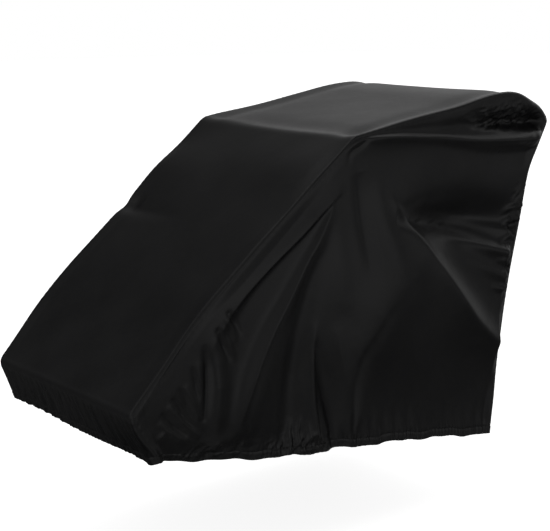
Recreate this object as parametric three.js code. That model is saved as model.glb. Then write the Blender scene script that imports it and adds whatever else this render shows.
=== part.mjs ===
// Bike trailer cover: a fitted, hollow cover of coated cloth in its draped form, with a low nose, a flat
// roof and a raised hood. It is sewn from a centre panel and two side panels, with folded hems.
// Millimetres. X runs across the cover, -Y is the low nose and +Z is up.
// The tables count Y from the roof's front edge and Z from the ground.
import * as THREE from "three";

const HALF_WIDTH = 350;
const CLOTH = 2;
const HEM = { height: 24, cloth: 3 };
const SEAM_GAP = 0.15; // each panel stops this far short of the seam line
const STEP = 44; // longest step of the faceted surface
const BEND_STEP = THREE.MathUtils.degToRad(24);
const SEAM_FADE = 34; // folds die away over this distance from a seam

// The part's origin, under the middle of the roof, where the cover is carried.
const ROOF_REST = { y: 230, z: 1136 };

// The long seam seen from the side, from the front hem over the roof to the rear hem. `round` is how far
// a bend reaches along the run on each side of it, and `soft` is the radius of the edge across the seam.
const SEAM_LINE = [
  { name: "front hem", y: -662, z: 324, round: 0, soft: 24 },
  { name: "nose", y: -713, z: 468, round: 34, soft: 16 },
  { name: "lower front", y: -545, z: 664, round: 130, soft: 16 },
  { name: "upper front", y: -203, z: 949, round: 140, soft: 30 },
  { name: "roof front", y: -4, z: 1107, round: 56, soft: 50 },
  { name: "roof", y: 130, z: 1132, round: 40, soft: 24 },
  { name: "hood front", y: 492, z: 1199, round: 70, soft: 16 },
  { name: "hood top", y: 616, z: 1206, round: 50, soft: 20 },
  { name: "hood back", y: 736, z: 1158, round: 30, soft: 26 },
  { name: "hood end", y: 769, z: 1110, round: 22, soft: 26 },
  { name: "upper rear", y: 690, z: 974, round: 34, soft: 22 },
  { name: "mid rear", y: 602, z: 605, round: 90, soft: 18 },
  { name: "lower rear", y: 577, z: 400, round: 60, soft: 22 },
  { name: "rear hem", y: 557, z: 184, round: 0, soft: 24 },
];

// Places where a side's seam is pulled off the line, counted along the seam from the front hem.
const SEAM_SWELLS = {
  near: [
    { name: "front corner drawn back", run: 0, reach: 70, out: -18 },
    { name: "slack above the nose", run: 330, reach: 90, out: -5 },
    { name: "pull at the hood", run: 1500, reach: 120, out: -7 },
  ],
  far: [
    { name: "dent in the slope", run: 735, reach: 26, out: -7 },
    { name: "fullness under the roof", run: 880, reach: 95, out: 9 },
    { name: "fullness over the roof's edge", run: 1130, reach: 130, out: 8 },
  ],
};

// Broad fullness and hollows of a side panel, as (Y, Z) of the middle, reach along each, and height.
const SIDE_FULLNESS = [
  { name: "belly", y: 120, z: 640, reachY: 330, reachZ: 210, out: 34 },
  { name: "under the roof corner", y: -20, z: 900, reachY: 150, reachZ: 150, out: 8 },
  { name: "hollow under the hood", y: 470, z: 830, reachY: 150, reachZ: 85, out: -40 },
  { name: "front corner tucked under", y: -520, z: 320, reachY: 165, reachZ: 50, out: -38 },
  { name: "rear corner drawn in", y: 520, z: 330, reachY: 150, reachZ: 200, out: -12 },
];

// Folds of a side panel. The path's points are (Y, Z); `above` and `below` are the fold's reach on its
// upper and lower flank and `out` its height, each from the path's start to its end.
const SIDE_FOLDS = [
  {
    name: "roll under the front seam",
    path: [[-70, 955], [-203, 860], [-327, 768], [-418, 694]],
    above: [30, 50], below: [8, 14], out: [5, 20, 18], sharp: 1.5,
  },
  {
    name: "ridge down from the roof corner",
    path: [[-86, 932], [-140, 858], [-203, 779], [-265, 704], [-319, 633], [-360, 549], [-398, 393]],
    above: [14, 26], below: [18, 50], out: [6, 16, 26, 28, 18], sharp: 1.5,
  },
  {
    name: "hollow behind that ridge",
    path: [[-160, 790], [-176, 688], [-196, 584], [-210, 451], [-216, 342]],
    above: [26, 42], below: [26, 42], out: [-4, -12, -16, -14], sharp: 2,
  },
  {
    name: "valley under the roof corner",
    path: [[-11, 1050], [-2, 964], [3, 883], [15, 802], [33, 723]],
    above: [14, 20], below: [14, 20], out: [-2, -9, -10, -7, -2], sharp: 2,
  },
  {
    name: "fall ahead of the valley",
    path: [[-80, 920], [-84, 820], [-80, 680]],
    above: [34, 44], below: [34, 44], out: [4, 11, 7], sharp: 2,
  },
  {
    name: "fall behind the valley",
    path: [[62, 960], [79, 877], [110, 793], [121, 695]],
    above: [22, 30], below: [22, 30], out: [3, 10, 8, 3], sharp: 2,
  },
  {
    name: "pull to the rear seam",
    path: [[124, 927], [256, 767], [398, 607], [527, 499], [580, 452]],
    above: [12, 48], below: [32, 110], out: [4, 18, 32, 42, 42], sharp: 1.5,
  },
  {
    name: "lip under the hood",
    path: [[55, 1103], [295, 1086], [613, 1081], [722, 1083]],
    above: [12, 20], below: [16, 24], out: [2, 12, 24, 28, 24], sharp: 1.8,
  },
  {
    name: "pocket under the hood seam",
    path: [[130, 1114], [300, 1118], [436, 1138], [573, 1132], [690, 1126]],
    above: [13, 23], below: [13, 23], out: [-4, -18, -36, -42, -28], sharp: 2,
  },
  {
    name: "shade under the lip",
    path: [[230, 1052], [300, 1045], [480, 1038], [700, 1035]],
    above: [17, 20], below: [22, 30], out: [-2, -10, -14, -10], sharp: 2,
  },
  {
    name: "ridge ahead of the low fold",
    path: [[-158, 629], [-170, 556], [-175, 476], [-165, 391], [-153, 328]],
    above: [18, 26], below: [16, 18], out: [3, 10, 12, 10], sharp: 1.6,
  },
  {
    name: "low fold",
    path: [[-136, 575], [-132, 506], [-121, 435], [-105, 371], [-87, 300]],
    above: [14, 18], below: [14, 20], out: [-4, -18, -22, -20], sharp: 1.8,
  },
  {
    name: "ridge behind the low fold",
    path: [[-105, 573], [-80, 489], [-55, 400], [-35, 325]],
    above: [20, 30], below: [16, 20], out: [3, 10, 12], sharp: 1.8,
  },
  {
    name: "fan's broad ridge",
    path: [[-476, 622], [-472, 499], [-474, 421], [-466, 362]],
    above: [22, 20], below: [22, 20], out: [8, 16, 12], sharp: 1.8,
  },
  {
    name: "fan's valley",
    path: [[-506, 604], [-500, 501], [-498, 400]],
    above: [15, 14], below: [15, 14], out: [-4, -11, -8], sharp: 1.8,
  },
  {
    name: "pucker into the fan",
    path: [[-600, 478], [-508, 380]],
    above: [14, 12], below: [14, 12], out: [-3, -10], sharp: 1.8,
  },
];

// Folds of the centre panel. The path's points are (X, distance along the panel from the front hem).
const CENTRE_FOLDS = [
  {
    name: "dent from the far seam",
    path: [[-330, 750], [-220, 738]],
    above: [26, 30], below: [26, 30], out: [-9, -3], sharp: 2,
  },
  {
    name: "rear fall on the near side",
    path: [[205, 2010], [176, 2360], [192, 2830]],
    above: [52, 60], below: [52, 60], out: [4, 16, 22], sharp: 2,
  },
  {
    name: "rear hollow in the middle",
    path: [[20, 1990], [-30, 2400], [8, 2830]],
    above: [66, 78], below: [66, 78], out: [-6, -18, -12], sharp: 2,
  },
  {
    name: "rear fall on the far side",
    path: [[-190, 2010], [-214, 2420], [-182, 2830]],
    above: [56, 64], below: [56, 64], out: [6, 20, 16], sharp: 2,
  },
];
// How far the front hem is drawn up at its two corners and, past that, in the middle.
const FRONT_HEM = { near: 0, far: 32, middle: 12 };
const CENTRE_SAG = [0, -7, -7, -5, -6, -6]; // evenly along the panel, from the front hem

// Waves of the side hem's lower edge: waves along the hem, height and phase.
const HEM_WAVES = [
  { waves: 0, height: 5, phase: -Math.PI / 2 },
  { waves: 1, height: 9, phase: Math.PI },
  { waves: 6.2, height: 2.5, phase: 0.6 },
  { waves: 13.7, height: 1.6, phase: 2.2 },
];

const clamp01 = (t) => Math.min(1, Math.max(0, t));
const ease = (t) => clamp01(t) ** 2 * (3 - 2 * clamp01(t));
const hump = (t) => Math.exp(-t * t);

// A list of values spread evenly from 0 to 1, read at t.
function along(values, t) {
  const place = clamp01(t) * (values.length - 1);
  const k = Math.min(values.length - 2, Math.floor(place));
  return THREE.MathUtils.lerp(values[k], values[k + 1], place - k);
}

// The seam line as straight runs joined by bends.
function seamPath() {
  const at = SEAM_LINE.map((row) => new THREE.Vector2(row.y, row.z));
  const path = new THREE.CurvePath();
  let start = at[0];
  for (let k = 1; k < at.length - 1; k++) {
    const { round } = SEAM_LINE[k];
    const into = at[k].clone().lerp(at[k - 1], round / at[k].distanceTo(at[k - 1]));
    const away = at[k].clone().lerp(at[k + 1], round / at[k].distanceTo(at[k + 1]));
    path.add(new THREE.LineCurve(start, into));
    path.add(new THREE.QuadraticBezierCurve(into, at[k], away));
    start = away;
  }
  path.add(new THREE.LineCurve(start, at.at(-1)));
  return path;
}

const seam = seamPath();
const seamEnds = seam.getCurveLengths();
const SEAM_LENGTH = seamEnds.at(-1);
const TRACE = 2; // spacing of the points that stand for the seam line
const trace = seam.getSpacedPoints(Math.round(SEAM_LENGTH / TRACE));
const traceStep = SEAM_LENGTH / (trace.length - 1);

// Distance along the seam of each row of the table, at the middle of its bend.
const rowRuns = SEAM_LINE.map((row, k) => {
  if (k === 0) return 0;
  if (k === SEAM_LINE.length - 1) return SEAM_LENGTH;
  return (seamEnds[2 * k - 2] + seamEnds[2 * k - 1]) / 2;
});
const runOf = (name) => rowRuns[SEAM_LINE.findIndex((row) => row.name === name)];
const NOSE = runOf("nose");
const HOOD_END = runOf("hood end");
const HOOD_FRONT = runOf("hood front");
const HOOD_LEAD = 380; // the lip and pocket start this far ahead of the hood

function softAt(run) {
  const k = Math.min(SEAM_LINE.length - 2, rowRuns.findLastIndex((r) => r <= run));
  const t = (run - rowRuns[k]) / (rowRuns[k + 1] - rowRuns[k]);
  return THREE.MathUtils.lerp(SEAM_LINE[k].soft, SEAM_LINE[k + 1].soft, ease(t));
}

// Point, outward normal and edge radius of the seam line at a distance along it.
function seamAt(run) {
  const place = Math.min(Math.max(run / traceStep, 0), trace.length - 1);
  const k = Math.min(trace.length - 2, Math.floor(place));
  const point = trace[k].clone().lerp(trace[k + 1], place - k);
  const ahead = trace[Math.min(trace.length - 1, Math.round(place) + 2)];
  const behind = trace[Math.max(0, Math.round(place) - 2)];
  const tangent = ahead.clone().sub(behind).normalize();
  return { point, normal: new THREE.Vector2(-tangent.y, tangent.x), soft: softAt(run) };
}

const swellAt = (side, run) =>
  SEAM_SWELLS[side].reduce((sum, row) => sum + row.out * hump((run - row.run) / row.reach), 0);

// How far a surface has rounded off at a distance from the plane that it would meet square.
const roundOff = (distance, radius) =>
  distance < radius ? radius - Math.sqrt(radius ** 2 - (radius - Math.max(0, distance)) ** 2) : 0;
const MITRE = 1 - Math.SQRT1_2; // share of the radius where both panels lean 45 degrees

// The folds' paths as short smooth polylines.
function withTrace(fold) {
  const spline = new THREE.SplineCurve(fold.path.map(([a, b]) => new THREE.Vector2(a, b)));
  return { ...fold, trace: spline.getPoints(8 * (fold.path.length - 1)) };
}

function foldHeight(fold, a, b) {
  const last = fold.trace.length - 1;
  let nearest = Infinity;
  let t = 0;
  let lift = 0;
  for (let k = 0; k < last; k++) {
    const p = fold.trace[k];
    const dx = fold.trace[k + 1].x - p.x;
    const dy = fold.trace[k + 1].y - p.y;
    const share = clamp01(((a - p.x) * dx + (b - p.y) * dy) / (dx * dx + dy * dy));
    const distance = Math.hypot(a - p.x - share * dx, b - p.y - share * dy);
    if (distance >= nearest) continue;
    nearest = distance;
    t = (k + share) / last;
    const upward = (dx < 0 ? -1 : 1) / Math.hypot(dx, dy);
    lift = ((b - p.y) * dx - (a - p.x) * dy) * upward;
  }
  const lean = nearest > 0 ? 0.5 + (0.5 * lift) / nearest : 0.5;
  const reach = THREE.MathUtils.lerp(along(fold.below, t), along(fold.above, t), clamp01(lean));
  return along(fold.out, t) * Math.exp(-((nearest / reach) ** fold.sharp));
}

// The far side has the same folds, each a little moved and shallower.
const moved = (fold, k) => ({
  ...fold,
  path: fold.path.map(([y, z]) => [y + 15 * Math.sin(1.7 * k), z + 11 * Math.cos(2.3 * k)]),
  out: fold.out.map((height) => height * (0.8 + 0.15 * Math.sin(2.9 * k))),
});
const sideFolds = {
  near: SIDE_FOLDS.map(withTrace),
  far: SIDE_FOLDS.map(moved).map(withTrace),
};
const centreFolds = CENTRE_FOLDS.map(withTrace);

// Distance of a place on a side panel from its seam, and the edge radius there.
function fromSeam(side, y, z) {
  let nearest = Infinity;
  let index = 0;
  trace.forEach((p, k) => {
    const distance = (p.x - y) ** 2 + (p.y - z) ** 2;
    if (distance < nearest) [nearest, index] = [distance, k];
  });
  const run = index * traceStep;
  const { point, normal, soft } = seamAt(run);
  const inward = (point.x - y) * normal.x + (point.y - z) * normal.y;
  return { distance: inward + swellAt(side, run), soft };
}

// Distance of a side panel's outer face from the middle of the cover.
function sideReach(side, y, z) {
  const { distance, soft } = fromSeam(side, y, z);
  const full = SIDE_FULLNESS.reduce(
    (sum, row) => sum + row.out * hump(Math.hypot((y - row.y) / row.reachY, (z - row.z) / row.reachZ)),
    0,
  );
  const folds = sideFolds[side].reduce((sum, fold) => sum + foldHeight(fold, y, z), 0);
  const fade = ease((distance - MITRE * soft) / SEAM_FADE);
  return HALF_WIDTH - roundOff(distance, soft) + fade * (full + folds);
}

// Height of the centre panel's outer face above the seam line.
function centreLift(x, run) {
  const { soft } = seamAt(run);
  const edge = HALF_WIDTH - Math.abs(x);
  const inner = ease((edge - MITRE * soft) / (2 * SEAM_FADE));
  const sag = hump((1.15 * x) / HALF_WIDTH) * inner * along(CENTRE_SAG, run / SEAM_LENGTH);
  const folds = centreFolds.reduce((sum, fold) => sum + foldHeight(fold, x, run), 0);
  const swell = swellAt(x > 0 ? "near" : "far", run) * ease(Math.abs(x) / HALF_WIDTH);
  return swell + sag + inner * folds - roundOff(edge, soft);
}

function centrePoint(x, run) {
  const { point, normal } = seamAt(run);
  point.addScaledVector(normal, centreLift(x, run));
  return new THREE.Vector3(x, point.x, point.y);
}

// Distances down a column of cloth, close together at the seam, under the hood and at the hem's stitching.
const UNDER_SEAM = [0, 8, 20, 40, 64];
const UNDER_HOOD = [0, 8, 20, 36, 52, 68, 84, 100, 116, 134];
function stopsDown(length, first = UNDER_SEAM) {
  const top = first.filter((stop) => stop < length - HEM.height - STEP / 2);
  const rest = length - HEM.height - top.at(-1);
  const steps = Math.max(1, Math.round(rest / STEP));
  const even = Array.from({ length: steps }, (_, k) => top.at(-1) + (rest * (k + 1)) / steps);
  return [...top, ...even, length].map((stop) => stop / length);
}

// Distances along the seam, closer where it bends.
function stations() {
  const runs = [0];
  seam.curves.forEach((curve, k) => {
    const from = k ? seamEnds[k - 1] : 0;
    const turn = Math.abs(curve.getTangent(0).angleTo(curve.getTangent(1)));
    const bends = curve.isQuadraticBezierCurve ? 2 * Math.ceil(turn / BEND_STEP / 2) : 1;
    const steps = Math.max(bends, Math.ceil((seamEnds[k] - from) / STEP));
    const even = curve.isQuadraticBezierCurve ? 2 * Math.ceil(steps / 2) : steps;
    for (let j = 1; j <= even; j++) runs.push(from + ((seamEnds[k] - from) * j) / even);
  });
  return runs;
}

const near = (a, b) => Math.abs(a - b) < 1e-6;
const topRuns = stations().filter((run) => run > NOSE - 1e-6 && run < HOOD_END + 1e-6);
const skirtStops = stopsDown(NOSE);
const rearStops = stopsDown(SEAM_LENGTH - HOOD_END);
const centreRuns = [
  ...skirtStops.map((v) => NOSE * (1 - v)).reverse(),
  ...topRuns.filter((run) => !near(run, NOSE) && !near(run, HOOD_END)),
  ...rearStops.map((v) => HOOD_END + (SEAM_LENGTH - HOOD_END) * v),
];

// A side panel's edge in the (Y, Z) plane, just short of the seam.
function sideEdge(side, run) {
  const { point, normal, soft } = seamAt(run);
  return point.addScaledVector(normal, swellAt(side, run) - MITRE * soft - SEAM_GAP);
}

function hemEdge(side, u) {
  const straight = sideEdge(side, FRONT_HEM[side]).lerp(sideEdge(side, SEAM_LENGTH), u);
  const held = ease(u / 0.06) * ease((1 - u) / 0.06);
  HEM_WAVES.forEach((row) => {
    straight.y += held * row.height * Math.sin(2 * Math.PI * row.waves * u + row.phase);
  });
  return straight;
}

// A place on a side panel, from its four edges: u runs from nose to rear and v from seam to hem.
function sidePlace(side, u, v) {
  const top = (share) => sideEdge(side, NOSE + (HOOD_END - NOSE) * share);
  const front = sideEdge(side, THREE.MathUtils.lerp(NOSE, FRONT_HEM[side], v));
  const rear = sideEdge(side, HOOD_END + (SEAM_LENGTH - HOOD_END) * v);
  const place = top(u).multiplyScalar(1 - v).addScaledVector(hemEdge(side, u), v);
  place.addScaledVector(front, 1 - u).addScaledVector(rear, u);
  place.addScaledVector(top(0), -(1 - u) * (1 - v)).addScaledVector(top(1), -u * (1 - v));
  place.addScaledVector(hemEdge(side, 0), -(1 - u) * v).addScaledVector(hemEdge(side, 1), -u * v);
  return place;
}

// One point of cloth: its outer face, and its inner face a thickness behind it.
const clothPoint = (outer, normal, thickness) => ({
  outer,
  inner: outer.clone().addScaledVector(normal, -thickness),
});

function sidePoint(side, u, v) {
  const { x: y, y: z } = sidePlace(side, u, v);
  const sign = side === "near" ? 1 : -1;
  const nudge = 0.5;
  const reach = sideReach(side, y, z);
  const slopeY = (sideReach(side, y + nudge, z) - sideReach(side, y - nudge, z)) / (2 * nudge);
  const slopeZ = (sideReach(side, y, z + nudge) - sideReach(side, y, z - nudge)) / (2 * nudge);
  const normal = new THREE.Vector3(sign, -slopeY, -slopeZ).normalize();
  const inHem = sidePlace(side, u, 1).y + HEM.height + 1 > z;
  return clothPoint(new THREE.Vector3(sign * reach, y, z), normal, inHem ? HEM.cloth : CLOTH);
}

// Joins neighbouring columns of points, which may differ in number, into one sheet of faces.
function stitchColumns(columns) {
  const points = columns.flatMap((column) => column.points);
  const faces = [];
  let first = 0;
  columns.slice(1).forEach((right, k) => {
    const left = columns[k];
    const next = first + left.points.length;
    let i = 0;
    let j = 0;
    while (i < left.stops.length - 1 || j < right.stops.length - 1) {
      const stepLeft = j === right.stops.length - 1 ||
        (i < left.stops.length - 1 && left.stops[i + 1] <= right.stops[j + 1] + 1e-9);
      faces.push([first + i, stepLeft ? first + i + 1 : next + j + 1, next + j]);
      if (stepLeft) i++;
      else j++;
    }
    first = next;
  });
  return { points, faces };
}

// A closed solid from a sheet of cloth points: outer face, inner face and the edge between them.
function solidSheet({ points, faces }, flip) {
  const outer = flip ? faces.map(([a, b, c]) => [a, c, b]) : faces;
  const count = points.length;
  const directed = new Set(outer.flatMap(([a, b, c]) => [`${a},${b}`, `${b},${c}`, `${c},${a}`]));
  const rim = [...directed].map((key) => key.split(",").map(Number))
    .filter(([a, b]) => !directed.has(`${b},${a}`))
    .flatMap(([a, b]) => [[b, a, a + count], [b, a + count, b + count]]);
  const index = [...outer, ...outer.map(([a, b, c]) => [a + count, c + count, b + count]), ...rim];
  const geometry = new THREE.BufferGeometry();
  geometry.setFromPoints([...points.map((p) => p.outer), ...points.map((p) => p.inner)]);
  geometry.setIndex(index.flat());
  geometry.computeVertexNormals();
  return geometry;
}

function sidePanel(side) {
  const columns = topRuns.map((run) => {
    const u = (run - NOSE) / (HOOD_END - NOSE);
    const length = sidePlace(side, u, 0).distanceTo(sidePlace(side, u, 1));
    const middle = stopsDown(length, run > HOOD_FRONT - HOOD_LEAD ? UNDER_HOOD : UNDER_SEAM);
    const stops = near(u, 0) ? skirtStops : near(u, 1) ? rearStops : middle;
    return { stops, points: stops.map((v) => sidePoint(side, u, v)) };
  });
  return solidSheet(stitchColumns(columns), side === "far");
}

// Places across the centre panel, as shares of the flat part, with the rounded edges beyond it.
const ACROSS = [-1, -0.68, -0.34, 0, 0.34, 0.68, 1];
const IN_ROUND = [MITRE, 0.58];
function acrossAt(soft) {
  const flat = ACROSS.map((share) => share * (HALF_WIDTH - soft));
  const near = IN_ROUND.map((share) => HALF_WIDTH - share * soft - (share === MITRE ? SEAM_GAP : 0));
  return [...near.map((x) => -x), ...flat, ...near.toReversed()];
}

// The front hem draws the skirt up, by a share of the panel's width that is -1 at the far seam.
function drawnUp(share, run) {
  const corners = THREE.MathUtils.lerp(FRONT_HEM.far, FRONT_HEM.near, (share + 1) / 2);
  return run + (corners + FRONT_HEM.middle * (1 - share ** 4)) * clamp01(1 - run / NOSE);
}

function centrePanel() {
  const columns = centreRuns.map((station) => {
    const soft = softAt(station);
    const xs = acrossAt(soft);
    const nudge = 0.5;
    const points = xs.map((x) => {
      const run = drawnUp(THREE.MathUtils.clamp(x / (HALF_WIDTH - soft), -1, 1), station);
      const acrossward = centrePoint(x + nudge, run).sub(centrePoint(x - nudge, run));
      const low = Math.max(0, run - nudge);
      const high = Math.min(SEAM_LENGTH, run + nudge);
      const lengthward = centrePoint(x, high).sub(centrePoint(x, low));
      const normal = acrossward.cross(lengthward).normalize();
      const inHem = station < HEM.height + 1 || station > SEAM_LENGTH - HEM.height - 1;
      return clothPoint(centrePoint(x, run), normal, inHem ? HEM.cloth : CLOTH);
    });
    return { stops: xs.map((_, k) => k / (xs.length - 1)), points };
  });
  return solidSheet(stitchColumns(columns), false);
}

const cover = new THREE.Group();
function addPanel(name, geometry) {
  const coated = new THREE.MeshStandardMaterial({ color: 0x18181a, roughness: 0.5, metalness: 0 });
  const panel = new THREE.Mesh(geometry, coated);
  panel.name = name;
  panel.position.set(0, -ROOF_REST.y, -ROOF_REST.z);
  cover.add(panel);
}
addPanel("centre_panel", centrePanel());
addPanel("side_panel_near", sidePanel("near"));
addPanel("side_panel_far", sidePanel("far"));

export default cover;
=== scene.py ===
"""Bike trailer cover: three sewn panels of coated black cloth, made as fine sheets in their draped form.

Metres. X runs across the cover, -Y is the low nose and +Z is up. The tables count Y from the roof's front
edge and Z from the ground, and ROOF_REST carries them to the part's own origin.
"""

import math

import bpy
import numpy as np
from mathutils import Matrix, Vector, noise
from mathutils.kdtree import KDTree


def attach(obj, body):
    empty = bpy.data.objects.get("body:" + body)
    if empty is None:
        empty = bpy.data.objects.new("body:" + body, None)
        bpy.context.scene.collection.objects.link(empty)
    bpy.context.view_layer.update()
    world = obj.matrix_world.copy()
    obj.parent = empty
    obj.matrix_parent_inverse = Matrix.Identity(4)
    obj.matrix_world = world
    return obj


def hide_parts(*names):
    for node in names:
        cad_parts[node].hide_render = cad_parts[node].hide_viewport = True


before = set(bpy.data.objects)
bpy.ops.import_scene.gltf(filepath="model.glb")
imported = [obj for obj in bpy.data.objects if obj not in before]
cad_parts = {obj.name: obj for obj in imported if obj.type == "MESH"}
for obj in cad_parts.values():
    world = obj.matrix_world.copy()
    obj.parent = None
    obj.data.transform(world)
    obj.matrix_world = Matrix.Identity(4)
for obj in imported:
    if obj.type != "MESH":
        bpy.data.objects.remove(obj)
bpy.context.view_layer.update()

HALF_WIDTH = 0.350
CLOTH = 0.002
SEAM_FADE = 0.028  # main folds die away over this distance from a seam
PUCKER_FADE = 0.012  # and puckers over this one
SHARED_REACH = 0.004  # the two panels at a seam turn to face one way over this distance
TIE_REACH = 0.010  # and a side panel is drawn to the centre panel's edge over this one
HEM_STOP = 0.012  # a hem's relief dies away over this distance from a seam
TRACE = 0.002  # spacing of the points that stand for the seam line
ROOF_REST = np.array((0.0, 0.230, 1.136))


def rows(columns, *values):
    """A short table: one dictionary for each row, under the named columns."""
    return [dict(zip(columns.split(), row)) for row in values]


# The long seam seen from the side, from the front hem over the roof to the rear hem. A bend reaches
# `round` along the run on each side of it, and `soft` is the radius of the edge across the seam.
SEAM_LINE = rows(
    "name y z round soft",
    ("front hem", -0.662, 0.324, 0.000, 0.024),
    ("nose", -0.713, 0.468, 0.020, 0.011),
    ("lower front", -0.545, 0.664, 0.130, 0.009),
    ("upper front", -0.203, 0.949, 0.140, 0.008),
    ("roof front", -0.004, 1.107, 0.014, 0.006),
    ("roof", 0.130, 1.132, 0.040, 0.009),
    ("hood front", 0.492, 1.199, 0.070, 0.010),
    ("hood top", 0.616, 1.206, 0.050, 0.012),
    ("hood back", 0.736, 1.158, 0.030, 0.026),
    ("hood end", 0.769, 1.110, 0.022, 0.026),
    ("upper rear", 0.690, 0.974, 0.034, 0.022),
    ("mid rear", 0.602, 0.605, 0.090, 0.018),
    ("lower rear", 0.577, 0.400, 0.060, 0.022),
    ("rear hem", 0.557, 0.184, 0.000, 0.024),
)
SEAM_TURN = math.radians(72)  # how far round the edge, from the centre panel's face, the seam lies
IN_CENTRE = 1 - math.sin(SEAM_TURN)  # the seam's place as shares of the edge's radius
IN_SIDE = 1 - math.cos(SEAM_TURN)

# Places where a side's seam is pulled off the line, counted along the seam from the front hem.
SEAM_SWELLS = {
    "near": rows(
        "name run reach out",
        ("front corner drawn back", 0.000, 0.070, -0.018),
        ("slack above the nose", 0.330, 0.090, -0.005),
        ("pull at the hood", 1.500, 0.120, -0.007),
    ),
    "far": rows(
        "name run reach out",
        ("dent in the slope", 0.735, 0.026, -0.007),
        ("fullness under the roof", 0.880, 0.095, 0.009),
        ("fullness over the roof's edge", 1.130, 0.130, 0.008),
    ),
}

# Broad fullness and hollows of a side panel: the middle, the reach along Y and Z, and the height.
SIDE_FULLNESS = rows(
    "name y z reach_y reach_z out",
    ("belly", 0.110, 0.620, 0.330, 0.200, 0.034),
    ("fullness below the roof", 0.040, 0.800, 0.230, 0.160, 0.018),
    ("hollow under the hood", 0.400, 0.840, 0.150, 0.080, -0.018),
    ("front corner tucked under", -0.545, 0.250, 0.190, 0.130, -0.042),
    ("rear corner drawn in", 0.520, 0.330, 0.150, 0.200, -0.012),
)

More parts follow.
